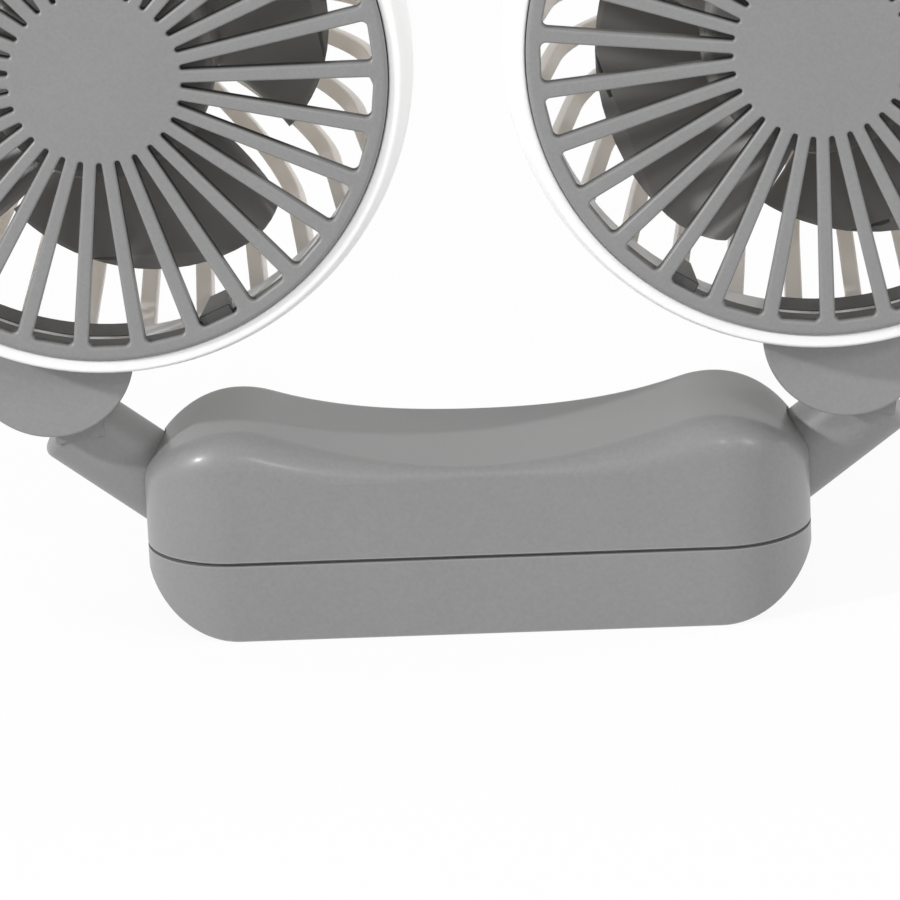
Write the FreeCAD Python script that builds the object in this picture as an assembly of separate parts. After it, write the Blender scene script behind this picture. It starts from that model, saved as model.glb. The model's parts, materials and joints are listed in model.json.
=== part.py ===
import FreeCAD, Part
import math
import os

# Two-headed electric neck fan, standing on the flat base of its power pack.
# Millimetres, X to the right, Y away from the viewer, Z up.
# The origin is the middle of the flat base.

# Power pack
pack_width = 95.0
pack_depth = 30.0
pack_height = 30.0
lobe_inset = 13.5
saddle_height = 24.6
plan_radius = 13.0
crown_radius = 1.4
shoulder_radius = 4.6
wall = 2.0
parting_height = 11.5
groove_width = 0.55
groove_depth = 1.1
lip_height = 1.6
lip_thickness = 0.9
lip_gap = 0.1
lip_root = 2.0
lip_bite = 0.4
lip_window_side = 20.0

# Cell and cradle inside the pack
cell_radius = 9.1
cell_length = 50.0
cell_y = -2.6
cell_edge = 0.7
cap_radius = 3.0
cap_height = 1.6
cradle_short = 8.0
cradle_gap = 0.1
cradle_floor = 1.0
cradle_drop = 2.0
cradle_front = 1.2
cradle_back = 1.4
cradle_hole = 3.0
cradle_hole_pitch = 14.0

# Upright circuit board behind the cell
board_end_gap = 24.5
board_thickness = 1.2
board_height = 16.0
board_gap = 0.6
board_lift = 1.5
board_slack = 0.1
board_corner = 1.2
board_hole = 1.1
board_hole_inset = 3.0
board_hole_drop = 2.6
chip_size = 5.0
chip_height = 1.0
chip_inset = 5.0
chip_lift = 8.0

# Button, light and charging inlet on the rear face
button_radius = 3.6
button_height = 17.0
button_proud = 0.9
button_travel = 0.7
button_gap = 0.3
button_edge = 0.5
dish_radius = 14.0
dish_depth = 0.3
flange_width = 0.9
flange_thickness = 0.8
switch_size = 6.0
switch_depth = 2.8
switch_well = 2.2
switch_corner = 0.6
stem_radius = 1.2
stem_spare = 0.3
light_radius = 1.1
light_foot = 0.6
light_x = 11.0
inlet_x = -11.0
inlet_height = 6.4
inlet_width = 8.94
inlet_thickness = 3.26
inlet_flat = 0.3
inlet_wall = 0.3
inlet_back = 1.2
inlet_setback = 0.4
inlet_clearance = 0.2
inlet_pocket = 1.5
tongue_width = 6.6
tongue_thickness = 0.7
tongue_setback = 0.6

# Screws that close the pack
cell_boss_gap = 2.6
board_boss_gap = 0.6
front_screw_y = -9.0
rear_screw_y = 9.6
screw_shank = 1.0
screw_reach = 5.0
screw_head = 2.1
screw_head_height = 1.5
screw_cross = 2.6
screw_cross_width = 0.6
screw_cross_depth = 0.7
screw_well = 2.4
screw_well_depth = 2.2
screw_clearance = 0.2
boss_radius = 2.9
fit_gap = 0.05

# Arms
arm_radius = 6.0
arm_slope = 37.0
arm_overhang = 11.3
arm_end_drop = 5.5
arm_end_round = 1.4
arm_lead_bore = 2.2
arm_lead_depth = 10.5
arm_tail = 2.2
neck_width = 7.0
neck_foot = 3.0
journal_radius = 5.6
running_gap = 0.05
bush_wall = 1.0
bush_entry = 6.4
bush_length = 5.2
collar_wall = 1.9
collar_gap = 0.3
collar_clearance = 0.4
entry_gap = 0.45
clip_thickness = 0.8
clip_radius = 6.9
clip_clear = 0.4
clip_groove = 4.7
clip_mouth = 4.6
clip_slack = 0.02

# Hinge between each arm and its lug
hinge_x = 57.5
hinge_z = 33.9
hinge_gap = 0.3
pin_radius = 1.5
pin_head = 2.9
pin_head_height = 1.9
pin_head_gap = 0.35
pin_sink = 0.6
pin_cross = 3.4
pin_cross_width = 0.8
pin_cross_depth = 0.9
pin_grip = 4.6
knuckle_radius = 6.3
knuckle_edge = 0.6
washer_radius = 5.2
washer_thickness = 0.5

# Fan heads
head_gap = 12.5
fan_z = 83.6
fan_front = -17.0
lug_reach = 43.4
lug_lean_left = 12.5
lug_lean_right = 4.0
lug_radius = 12.0
lug_thickness = 6.0
lug_setback = 8.9
lug_inner = 39.6
lug_edge = 0.35
lug_seat_gap = 0.08

# Slotted front grille
slots = 30
slot_turn_left = 6.0
slot_turn_right = 0.0
grille_radius = 40.7
grille_thickness = 2.0
grille_edge = 0.7
slot_inner = 12.0
slot_outer = 38.6
spoke_inner = 1.75
spoke_outer = 2.3
slot_corner = 0.8
spoke_round = 0.4
skirt_depth = 7.0
skirt_wall = 1.2
tabs = 4
tab_from_lug = 36.0
tab_radius = 37.2
tab_thickness = 2.0
tab_width = 5.0
tab_depth = 11.4
hook_reach = 0.1
hook_length = 1.6
hook_setback = 1.0

# White ring and ribbed bowl behind the grille
ring_radius = 44.0
ring_front_radius = 42.5
ring_depth = 13.0
ring_front = 0.8
ring_gap = 0.12
ring_tuck = 0.5
ledge_radius = 39.7
ledge_depth = 5.8
bowl_start = 14.0
bowl_inset = 1.6
bowl_depth = 51.0
bowl_wall = 1.8
bowl_taper = 9.0
bowl_corner = 18.0
rib_width = 2.4
window_start = 15.6
window_inner = 17.0

# Motor in its cup
motor_radius = 12.2
motor_length = 13.0
motor_back = 29.0
motor_edge = 1.0
motor_boss = 3.0
motor_boss_length = 1.4
motor_bore_stop = 2.0
motor_vent = 5.0
motor_vent_width = 3.0
motor_vent_depth = 1.0
motor_vent_radius = 7.0
cup_radius = 14.2
cup_length = 8.0
cup_floor = 2.0
well_radius = 11.8
lead_hole = 3.0
shaft_radius = 1.0
shaft_stop = 3.0

# Impeller
hub_radius = 16.5
hub_wall = 1.5
hub_face = 1.8
hub_nose = 1.8
hub_front = 6.6
hub_length = 21.0
hub_boss = 3.2
hub_boss_gap = 0.6
hub_web = 1.0
hub_web_depth = 2.0
shaft_cover = 2.2
blades = 4
blade_tip = 33.6
blade_tip_drop = 4.3
blade_nose = 2.0
blade_nose_share = 0.2
blade_front = 8.0
blade_rear = 26.5
blade_camber = 1.0
blade_thickness = 1.3
blade_lead = 11.5
blade_root_span = 80.0
blade_tip_span = 81.0
blade_sink = 0.9
blade_turn_left = 27.5
blade_turn_right = 104.0

# How far a cutting shape runs past the face that it opens, and how close a picked edge lies
overcut = 1.0
near = 0.01

# Sizes that follow from the ones above
end_radius = pack_height / 2.0
half_depth = pack_depth / 2.0
lobe_x = pack_width / 2.0 - lobe_inset
saddle_drop = saddle_height - end_radius
saddle_radius = (lobe_x ** 2 + saddle_drop ** 2 - end_radius ** 2) / (2.0 * (end_radius - saddle_drop))
board_width = pack_width - 2.0 * board_end_gap
cradle_length = cell_length - cradle_short
board_front = cell_y + cell_radius + board_gap
board_back = board_front + board_thickness
cell_z = wall + cradle_floor + cradle_gap + cell_radius
front_screw_x = cell_length / 2.0 + boss_radius + cell_boss_gap
rear_screw_x = board_width / 2.0 + boss_radius + board_boss_gap
lug_front_y = fan_front + lug_setback
lug_back_y = lug_front_y + lug_thickness
knuckle_front = lug_back_y + hinge_gap + washer_thickness
arm_y = knuckle_front + arm_radius
knuckle_back = arm_y + arm_radius
pin_seat = knuckle_back - pin_head_height - pin_sink
slope = math.radians(arm_slope)
arm_end_x = pack_width / 2.0 + arm_overhang
arm_end_z = hinge_z - arm_end_drop
pack_entry = arm_overhang / math.cos(slope)
bush_start = pack_entry + bush_entry
bush_end = bush_start + bush_length
bush_radius = journal_radius + running_gap + bush_wall
clip_start = bush_end + collar_gap
arm_inner_end = bush_end + arm_tail
fan_x = ring_radius + head_gap / 2.0
motor_front = motor_back - motor_length

V = FreeCAD.Vector
origin = V(0, 0, 0)
along_x = V(1, 0, 0)
along_y = V(0, 1, 0)
along_z = V(0, 0, 1)
left, right = -1, 1


def arc(a, b, c):
    return Part.Arc(a, b, c).toShape()


def line(a, b):
    return Part.LineSegment(a, b).toShape()


def prism(edges, direction):
    return Part.Face(Part.Wire(edges)).extrude(direction)


def rod(radius, length, base, axis):
    return Part.makeCylinder(radius, length, base, axis)


def block(x0, x1, y0, y1, z0, z1):
    return Part.makeBox(x1 - x0, y1 - y0, z1 - z0, V(x0, y0, z0))


def eased_along_y(shape, radius):
    depth = shape.BoundBox.YLength
    edges = [e for e in shape.Edges if e.BoundBox.YLength > depth - near]
    return shape.makeFillet(radius, edges)


def ring_of(shape, count):
    copies = []
    for i in range(count):
        turned = shape.copy()
        turned.rotate(origin, along_y, 360.0 * i / count)
        copies.append(turned)
    return copies


# Power pack: an upright kidney run through in depth, with its plan rounded at the ends

def kidney_solid(inset):
    y = inset - half_depth
    saddle = saddle_radius + inset
    centre_z = saddle_height + saddle_radius
    swing = math.atan2(lobe_x, centre_z - end_radius)

    def on_saddle(angle):
        return V(saddle * math.sin(angle), y, centre_z - saddle * math.cos(angle))
    low_right = V(lobe_x, y, inset)
    low_left = V(-lobe_x, y, inset)
    far_right = V(lobe_x + end_radius - inset, y, end_radius)
    far_left = V(-far_right.x, y, end_radius)
    edges = [line(low_left, low_right)]
    edges.append(arc(low_right, far_right, on_saddle(swing)))
    edges.append(arc(on_saddle(swing), on_saddle(swing / 2), on_saddle(0)))
    edges.append(arc(on_saddle(0), on_saddle(-swing / 2), on_saddle(-swing)))
    edges.append(arc(on_saddle(-swing), far_left, low_left))
    return prism(edges, V(0, -2.0 * y, 0))


def plan_solid(inset):
    x = pack_width / 2.0 - inset
    y = half_depth - inset
    body = block(-x, x, -y, y, -overcut, pack_height + overcut)
    upright = [e for e in body.Edges if e.BoundBox.ZLength > pack_height]
    return body.makeFillet(plan_radius - inset, upright)


def pack_solid(inset):
    return kidney_solid(inset).common(plan_solid(inset))


def rim_radius(point):
    # Tight in the middle of the saddle, fuller from the lobes round the shoulders
    return crown_radius if abs(point.x) < near else shoulder_radius


def pack_outer():
    body = pack_solid(0.0)
    sides = plan_solid(0.0).Shells[0]
    top = kidney_solid(0.0).Shells[0]
    rims = []
    for number, edge in enumerate(body.Edges, 1):
        middle = edge.valueAt(0.5 * (edge.FirstParameter + edge.LastParameter))
        spot = Part.Vertex(middle)
        on_rim = max(sides.distToShape(spot)[0], top.distToShape(spot)[0]) < near
        if on_rim and middle.z > end_radius + near:
            ends = [rim_radius(edge.valueAt(t)) for t in (edge.FirstParameter, edge.LastParameter)]
            if edge.Orientation == "Reversed":
                ends.reverse()
            rims.append((number, ends[0], ends[1]))
    document = FreeCAD.newDocument("crown")
    plain = document.addObject("Part::Feature", "plain")
    plain.Shape = body
    eased = document.addObject("Part::Fillet", "eased")
    eased.Base = plain
    eased.Edges = rims
    document.recompute()
    return eased.Shape


def layer(low, high):
    size = pack_width + pack_depth
    return block(-size, size, -size, size, low, high)


def screw_spots():
    spots = []
    for side in (left, right):
        spots.append((side * front_screw_x, front_screw_y))
        spots.append((side * rear_screw_x, rear_screw_y))
    return spots


def arm_axis(side):
    return V(-side * math.cos(slope), 0, -math.sin(slope))


def arm_point(side, along):
    return V(side * arm_end_x, arm_y, arm_end_z) + arm_axis(side) * along


def arm_rod(side, radius, start, end):
    return rod(radius, end - start, arm_point(side, start), arm_axis(side))


def clip_space(side):
    return arm_rod(side, clip_radius + clip_clear, bush_end, arm_inner_end + overcut)


def upper_shell(outer):
    shell = outer.common(layer(parting_height, pack_height + overcut))
    kept = []
    for side in (left, right):
        kept.append(arm_rod(side, bush_radius + collar_wall, pack_entry, bush_end))
    for x, y in screw_spots():
        kept.append(rod(boss_radius, pack_height, V(x, y, parting_height), along_z))
    shell = shell.cut(pack_solid(wall).cut(kept))
    groove = layer(parting_height - overcut, parting_height + groove_width / 2)
    cuts = [groove.cut(pack_solid(groove_depth))]
    for side in (left, right):
        cuts.append(arm_rod(side, arm_radius + entry_gap, 0.0, bush_start))
        cuts.append(arm_rod(side, bush_radius, bush_start, arm_inner_end))
        cuts.append(clip_space(side))
    for x, y in screw_spots():
        hole = V(x, y, parting_height - overcut)
        cuts.append(rod(screw_shank + fit_gap, screw_reach + 2 * overcut, hole, along_z))
    back = half_depth - wall - overcut
    through = wall + 2 * overcut
    cuts.append(rod(button_radius + button_gap, through, V(0, back, button_height), along_y))
    cuts.append(rod(light_radius + fit_gap, through, V(light_x, back, button_height), along_y))
    return shell.cut(cuts)


def locating_lip():
    inner = pack_solid(wall + lip_gap + lip_thickness)
    lip = pack_solid(wall + lip_gap).common(layer(parting_height, parting_height + lip_height))
    root = pack_solid(wall - lip_bite).common(layer(parting_height - lip_root, parting_height))
    clear = [inner]
    for side in (left, right):
        clear.append(arm_rod(side, bush_radius + collar_wall + collar_clearance, 0.0, arm_inner_end))
    for x, y in screw_spots():
        clear.append(rod(boss_radius + button_gap, pack_height, V(x, y, 0), along_z))
    reach = inlet_width / 2 + lip_window_side
    clear.append(block(-reach, reach, board_back, half_depth, 0, pack_height))
    return [root.cut(clear), lip.cut(clear)]


def lower_shell(outer):
    shell = outer.common(layer(-overcut, parting_height))
    posts = [rod(boss_radius, parting_height, V(x, y, 0), along_z) for x, y in screw_spots()]
    shell = shell.cut(pack_solid(wall).cut(posts))
    groove = layer(parting_height - groove_width / 2, parting_height + overcut)
    shell = shell.cut(groove.cut(pack_solid(groove_depth)))
    shell = shell.fuse(locating_lip()).removeSplitter()
    cuts = []
    for side in (left, right):
        cuts.append(arm_rod(side, bush_radius + hinge_gap, pack_entry, arm_inner_end))
        cuts.append(clip_space(side))
    for x, y in screw_spots():
        cuts.append(rod(screw_shank + screw_clearance, pack_height, V(x, y, -overcut), along_z))
        cuts.append(rod(screw_well, screw_well_depth, V(x, y, 0), along_z))
    cuts.append(inlet_block(inlet_clearance, half_depth - wall - overcut, half_depth + overcut))
    return shell.cut(cuts)


# Inside the pack

def cradle():
    low = wall
    high = cell_z - cradle_drop
    front = cell_y - cell_radius + cradle_front
    back = board_back + cradle_back
    half = cradle_length / 2.0
    body = block(-half, half, front, back, low, high)
    bed = rod(cell_radius + cradle_gap, cradle_length, V(-half, cell_y, cell_z), along_x)
    slot = block(-half, half, board_front - board_slack, board_back + board_slack, low + board_lift, high)
    side = inlet_width / 2 + inlet_pocket
    pocket = block(inlet_x - side, inlet_x + side, board_back, back, low + cradle_floor, high)
    holes = []
    for x in (-cradle_hole_pitch, 0.0, cradle_hole_pitch):
        hole = rod(cradle_hole, back - front, V(x, front, low + cradle_floor), along_y)
        holes.append(hole.common(layer(low + cradle_floor, high)))
    posts = [rod(boss_radius + cradle_gap, high, V(x, y, 0), along_z) for x, y in screw_spots()]
    return body.cut([bed, slot, pocket] + holes + posts)


def cell():
    half = cell_length / 2.0
    can = rod(cell_radius, cell_length - cap_height, V(-half, cell_y, cell_z), along_x)
    can = can.makeFillet(cell_edge, can.Edges)
    cap = rod(cap_radius, 2 * cap_height, V(half - 2 * cap_height, cell_y, cell_z), along_x)
    return can.fuse(cap)


def board():
    low = wall + board_lift
    half = board_width / 2.0
    plate = block(-half, half, board_front, board_back, low, low + board_height)
    plate = eased_along_y(plate, board_corner)
    hole_z = low + board_height - board_hole_drop
    for x in (board_hole_inset - half, half - board_hole_inset):
        plate = plate.cut(rod(board_hole, board_thickness, V(x, board_front, hole_z), along_y))
    chip_corner = V(chip_inset - half, board_back, low + chip_lift)
    return plate.fuse(Part.makeBox(chip_size, chip_height, chip_size, chip_corner))


def inlet_block(grow, y0, y1):
    half = inlet_width / 2 + grow
    tall = inlet_thickness / 2 + grow
    body = block(inlet_x - half, inlet_x + half, y0, y1, inlet_height - tall, inlet_height + tall)
    return eased_along_y(body, tall - inlet_flat / 2)


def inlet():
    mouth = half_depth - inlet_setback
    shell = inlet_block(0.0, board_back, mouth)
    shell = shell.cut(inlet_block(-inlet_wall, board_back + inlet_back, mouth + overcut))
    half = tongue_width / 2
    tall = tongue_thickness / 2
    tongue = block(inlet_x - half, inlet_x + half, board_back, mouth - tongue_setback,
                   inlet_height - tall, inlet_height + tall)
    return shell.fuse(tongue)


def switch():
    half = switch_size / 2
    face = board_back + switch_depth
    case = block(-half, half, board_back, face, button_height - half, button_height + half)
    case = eased_along_y(case, switch_corner)
    well = V(0, face - switch_well, button_height)
    return case.cut(rod(stem_radius + running_gap, switch_well, well, along_y))


def button():
    inner = half_depth - wall
    face = half_depth + button_proud
    cap = rod(button_radius, face - inner, V(0, inner, button_height), along_y)
    outer_edge = [e for e in cap.Edges if abs(e.CenterOfMass.y - face) < near]
    cap = cap.makeFillet(button_edge, outer_edge)
    cap = cap.cut(Part.makeSphere(dish_radius, V(0, face + dish_radius - dish_depth, button_height)))
    flange_y = inner - fit_gap - flange_thickness
    flange = rod(button_radius + flange_width, flange_thickness, V(0, flange_y, button_height), along_y)
    stem_y = board_back + switch_depth - switch_well + button_travel + stem_spare
    stem = rod(stem_radius, inner - stem_y, V(0, stem_y, button_height), along_y)
    return cap.fuse([flange, stem])


def status_light():
    base = V(light_x, board_back, button_height)
    foot = rod(light_radius + light_foot, half_depth - wall - board_back - fit_gap / 2, base, along_y)
    return foot.fuse(rod(light_radius, half_depth - board_back, base, along_y))


def cross_slot(centre, axis, reach, width, depth):
    # Cross recess of the given reach, sunk along the axis from its centre
    bars = []
    for size_a, size_b in ((reach, width), (width, reach)):
        bar = block(-size_a / 2, size_a / 2, -size_b / 2, size_b / 2, 0, depth)
        bar.Placement = FreeCAD.Placement(centre, FreeCAD.Rotation(along_z, axis))
        bars.append(bar)
    return bars


def pack_screw(x, y):
    face = screw_well_depth - screw_head_height
    head = rod(screw_head, screw_head_height, V(x, y, face), along_z)
    shank = rod(screw_shank, parting_height + screw_reach - face, V(x, y, face), along_z)
    cross = cross_slot(V(x, y, face), along_z, screw_cross, screw_cross_width, screw_cross_depth)
    return head.fuse(shank).cut(cross)


# Arms and hinges

def neck(side):
    # Web that carries the knuckle on the arm's outer end
    hinge = V(side * hinge_x, knuckle_front, hinge_z)
    foot = arm_point(side, neck_foot)
    foot.y = knuckle_front
    run = foot - hinge
    half = V(run.z, 0, -run.x).normalize() * (neck_width / 2)
    corners = [hinge + half, hinge - half, foot - half, foot + half, hinge + half]
    edges = [line(a, b) for a, b in zip(corners, corners[1:])]
    return prism(edges, V(0, knuckle_back - knuckle_front, 0))


def arm(side):
    hinge = V(side * hinge_x, 0, hinge_z)
    tube = arm_rod(side, arm_radius, 0.0, bush_start - collar_gap)
    end = arm_point(side, 0.0)
    rim = [e for e in tube.Edges if (e.CenterOfMass - end).Length < near]
    tube = tube.makeFillet(arm_end_round, rim)
    journal = arm_rod(side, journal_radius, bush_start - arm_tail, arm_inner_end)
    knuckle = rod(knuckle_radius, knuckle_back - knuckle_front, hinge + along_y * knuckle_front, along_y)
    rims = [e for e in knuckle.Edges if e.BoundBox.YLength < near]
    knuckle = knuckle.makeFillet(knuckle_edge, rims)
    body = tube.fuse([journal, knuckle, neck(side)])
    groove = arm_rod(side, clip_radius, clip_start, clip_start + clip_thickness)
    groove = groove.cut(arm_rod(side, clip_groove, clip_start, clip_start + clip_thickness))
    front = hinge + along_y * (knuckle_front - overcut)
    bore = rod(pin_radius + running_gap, knuckle_back - knuckle_front + 2 * overcut, front, along_y)
    seat = hinge + along_y * pin_seat
    well = rod(pin_head + pin_head_gap, knuckle_back - pin_seat + overcut, seat, along_y)
    lead = arm_rod(side, arm_lead_bore, arm_inner_end - arm_lead_depth, arm_inner_end + overcut)
    return body.cut([groove, bore, well, lead])


def bush(side):
    sleeve = arm_rod(side, bush_radius - fit_gap / 2, bush_start, bush_end)
    bore = arm_rod(side, journal_radius + running_gap, bush_start - overcut, bush_end + overcut)
    return sleeve.cut(bore).common(pack_solid(wall / 2))


def clip(side):
    start = clip_start + clip_slack
    end = clip_start + clip_thickness - clip_slack
    ring = arm_rod(side, clip_radius, start, end)
    bore = arm_rod(side, clip_groove + clip_slack, start - overcut, end + overcut)
    half = clip_mouth / 2
    mouth = block(-half, half, 0, 2 * clip_radius, -clip_radius, clip_radius)
    mouth.Placement = FreeCAD.Placement(arm_point(side, start), FreeCAD.Rotation(along_z, arm_axis(side)))
    return ring.cut([bore, mouth])


def washer(side):
    base = V(side * hinge_x, lug_back_y + hinge_gap, hinge_z)
    ring = rod(washer_radius, washer_thickness, base, along_y)
    return ring.cut(rod(pin_radius + running_gap, washer_thickness, base, along_y))


def hinge_pin(side):
    hinge = V(side * hinge_x, 0, hinge_z)
    under = pin_seat + hinge_gap
    front = lug_back_y - pin_grip
    shank = rod(pin_radius, under - front + overcut, hinge + along_y * front, along_y)
    head = rod(pin_head, pin_head_height, hinge + along_y * under, along_y)
    face = hinge + along_y * (under + pin_head_height)
    return shank.fuse(head).cut(cross_slot(face, -along_y, pin_cross, pin_cross_width, pin_cross_depth))


# Fan heads, drawn about their own axis with the front of the grille at depth zero
# and angles that run clockwise from the right as seen from the front

def at_head(shape, side):
    placed = shape.copy()
    placed.translate(V(side * fan_x, fan_front, fan_z))
    return placed


def lug_lean(side):
    return lug_lean_left if side == left else lug_lean_right


def wedge(r0, r1, w0, w1, corner, y0, y1):
    # Tapered slot along X, with a round inner end and eased outer corners
    a = w0 / 2.0
    b = w1 / 2.0
    bulge = corner * (1.0 - math.sqrt(0.5))

    def p(x, z):
        return V(x, y0, z)
    edges = [arc(p(r0, -a), p(r0 - a, 0), p(r0, a))]
    edges.append(line(p(r0, a), p(r1 - corner, b)))
    edges.append(arc(p(r1 - corner, b), p(r1 - bulge, b - bulge), p(r1, b - corner)))
    edges.append(line(p(r1, b - corner), p(r1, corner - b)))
    edges.append(arc(p(r1, corner - b), p(r1 - bulge, bulge - b), p(r1 - corner, -b)))
    edges.append(line(p(r1 - corner, -b), p(r0, -a)))
    return prism(edges, V(0, y1 - y0, 0))


def slot_width(radius, spoke):
    return 2.0 * math.pi * radius / slots - spoke


def snap_tab(angle):
    half = tab_width / 2.0
    outer = tab_radius + tab_thickness
    root = grille_thickness / 2.0
    tab = block(tab_radius, outer, root, tab_depth, -half, half)
    hook_end = tab_depth - hook_setback
    hook = block(outer - overcut, outer + hook_reach, hook_end - hook_length, hook_end, -half, half)
    tab = tab.fuse(hook)
    tab.rotate(origin, along_y, angle)
    return tab


def grille(side):
    plate = rod(grille_radius, grille_thickness, origin, along_y)
    skirt = rod(grille_radius, skirt_depth, origin, along_y)
    skirt = skirt.cut(rod(grille_radius - skirt_wall, skirt_depth, origin, along_y))
    body = plate.fuse(skirt).removeSplitter()
    rim = [e for e in body.Edges if e.BoundBox.YMax < near and e.BoundBox.XLength > 2 * slot_outer]
    body = body.makeFillet(grille_edge, rim)
    inner_width = slot_width(slot_inner, spoke_inner)
    slot = wedge(slot_inner + inner_width / 2, slot_outer, inner_width, slot_width(slot_outer, spoke_outer),
                 slot_corner, -overcut, grille_thickness + overcut)
    slot.rotate(origin, along_y, slot_turn_left if side == left else slot_turn_right)
    body = body.cut(ring_of(slot, slots))
    lips = []
    for edge in body.Edges:
        middle = edge.CenterOfMass
        in_slots = math.hypot(middle.x, middle.z) < slot_outer + slot_corner
        if edge.BoundBox.YMax < near and in_slots and not edge.Closed:
            lips.append(edge)
    body = body.makeFillet(spoke_round, lips)
    first = 90.0 - side * (lug_lean(side) - tab_from_lug)
    return body.fuse([snap_tab(first + 360.0 * i / tabs) for i in range(tabs)]).removeSplitter()


def bowl_path(skin):
    # Points of the bowl's profile, set in by a skin: tapered side, round corner, flat back
    taper = math.radians(bowl_taper)
    corner_depth = bowl_depth - bowl_corner
    run = (corner_depth + bowl_corner * math.sin(taper) - bowl_start) / math.cos(taper)
    start_radius = ring_radius - bowl_inset
    corner_radius = start_radius - run * math.sin(taper) - bowl_corner * math.cos(taper)
    round_off = bowl_corner - skin

    def on_corner(angle):
        return V(corner_radius + round_off * math.cos(angle), corner_depth + round_off * math.sin(angle), 0)
    middle = on_corner((taper + math.pi / 2) / 2)
    start = V(start_radius - skin / math.cos(taper), bowl_start, 0)
    return start, on_corner(taper), middle, on_corner(math.pi / 2)


def cage():
    def p(radius, depth):
        return V(radius, depth, 0)
    grille_room = grille_radius + ring_gap
    cup_bore = motor_radius + fit_gap
    cup_rim = motor_back - cup_length
    under_floor = motor_back + cup_floor
    ledge_end = skirt_depth + ledge_depth
    outer_start, outer_side, outer_corner, outer_back = bowl_path(0.0)
    inner_start, inner_side, inner_corner, inner_back = bowl_path(bowl_wall)
    corners = [outer_back, p(well_radius, bowl_depth), p(well_radius, under_floor), p(0, under_floor),
               p(0, motor_back), p(cup_bore, motor_back), p(cup_bore, cup_rim), p(cup_radius, cup_rim),
               p(cup_radius, inner_back.y), inner_back]
    seat = [inner_start, p(ledge_radius, ledge_end), p(ledge_radius, skirt_depth),
            p(grille_room, skirt_depth), p(grille_room, ring_front), p(ring_front_radius, ring_front)]
    ring_back = p(ring_radius - ring_tuck, ring_depth)
    edges = [arc(p(ring_front_radius, ring_front), p(ring_radius, ring_depth / 2), ring_back)]
    edges.append(line(ring_back, outer_start))
    edges.append(line(outer_start, outer_side))
    edges.append(arc(outer_side, outer_corner, outer_back))
    edges += [line(a, b) for a, b in zip(corners, corners[1:])]
    edges.append(arc(inner_back, inner_corner, inner_side))
    edges.append(line(inner_side, inner_start))
    edges += [line(a, b) for a, b in zip(seat, seat[1:])]
    body = Part.Face(Part.Wire(edges)).revolve(origin, along_y, 360)
    inner_width = slot_width(window_inner, rib_width)
    outside = ring_radius + bowl_inset
    window = wedge(window_inner, outside, inner_width, slot_width(outside, rib_width), slot_corner,
                   window_start, bowl_depth + overcut)
    window.rotate(origin, along_y, 180.0 / slots)
    lead = rod(lead_hole, cup_floor + 2 * overcut, V(0, motor_back - overcut, 0), along_y)
    return body.cut(ring_of(window, slots) + [lead])


def lug_centre(side):
    lean = math.radians(lug_lean(side))
    return V(side * (fan_x + lug_reach * math.sin(lean)), 0, fan_z - lug_reach * math.cos(lean))


def lug_plate(side, grow):
    # Round lug below the ring, its upper edge cut to an arc about the fan axis
    thick = lug_thickness + 2 * grow
    front = along_y * (lug_front_y - grow)
    plate = rod(lug_radius + grow, thick, lug_centre(side) + front, along_y)
    return plate.cut(rod(lug_inner - grow, thick, V(side * fan_x, 0, fan_z) + front, along_y))


def lug(side):
    body = lug_plate(side, 0.0)
    axis = V(side * fan_x, 0, fan_z)
    rims = []
    for edge in body.Edges:
        middle = edge.valueAt(0.5 * (edge.FirstParameter + edge.LastParameter))
        from_axis = math.hypot(middle.x - axis.x, middle.z - axis.z)
        if edge.BoundBox.YLength < near and from_axis > lug_inner + lug_edge:
            rims.append(edge)
    body = body.makeFillet(lug_edge, rims)
    pin = V(side * hinge_x, lug_back_y - pin_grip, hinge_z)
    return body.cut(rod(pin_radius + fit_gap / 2, pin_grip + overcut, pin, along_y))


def motor():
    can = rod(motor_radius, motor_length, V(0, motor_front, 0), along_y)
    face = [e for e in can.Edges if e.BoundBox.YMax < motor_front + near]
    can = can.makeFillet(motor_edge, face)
    nose = motor_front - motor_boss_length
    can = can.fuse(rod(motor_boss, motor_boss_length + overcut, V(0, nose, 0), along_y))
    cuts = [rod(shaft_radius + running_gap, motor_back - motor_bore_stop - nose, V(0, nose, 0), along_y)]
    for x in (motor_vent_radius, -motor_vent_radius - motor_vent_width):
        corner = V(x, motor_front, -motor_vent / 2)
        cuts.append(Part.makeBox(motor_vent_width, motor_vent_depth, motor_vent, corner))
    return can.cut(cuts)


def motor_shaft():
    front = hub_front + shaft_cover
    return rod(shaft_radius, motor_back - shaft_stop - front, V(0, front, 0), along_y)


def blade_point(across, along):
    # across runs from the front edge to the rear edge, along from the root to the tip
    nose = max(0.0, 1.0 - across / blade_nose_share)
    tip = blade_tip - blade_tip_drop * across ** 2 - blade_nose * nose ** 2
    root = hub_radius - blade_sink
    radius = root + along * (tip - root)
    span = blade_root_span + (blade_tip_span - blade_root_span) * along
    angle = math.radians(blade_lead * along + span * across)
    depth = blade_front + (blade_rear - blade_front) * across - blade_camber * math.sin(math.pi * across)
    return V(radius * math.cos(angle), depth, -radius * math.sin(angle))


def blade():
    # Twisted blade between a front and a rear skin, broad at the tip
    steps_across = 10
    steps_along = 6
    skins = []
    for offset in (-blade_thickness / 2, blade_thickness / 2):
        grid = []
        for i in range(steps_across + 1):
            row = [blade_point(i / steps_across, j / steps_along) for j in range(steps_along + 1)]
            grid.append([point + along_y * offset for point in row])
        surface = Part.BSplineSurface()
        surface.interpolate(grid)
        skins.append(surface.toShape())
    sides = [Part.makeRuledSurface(a, b) for a, b in zip(skins[0].Edges, skins[1].Edges)]
    shell = Part.Shell(skins + sides)
    shell.sewShape()
    solid = Part.Solid(shell)
    if solid.Volume < 0:
        solid.reverse()
    return solid


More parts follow.
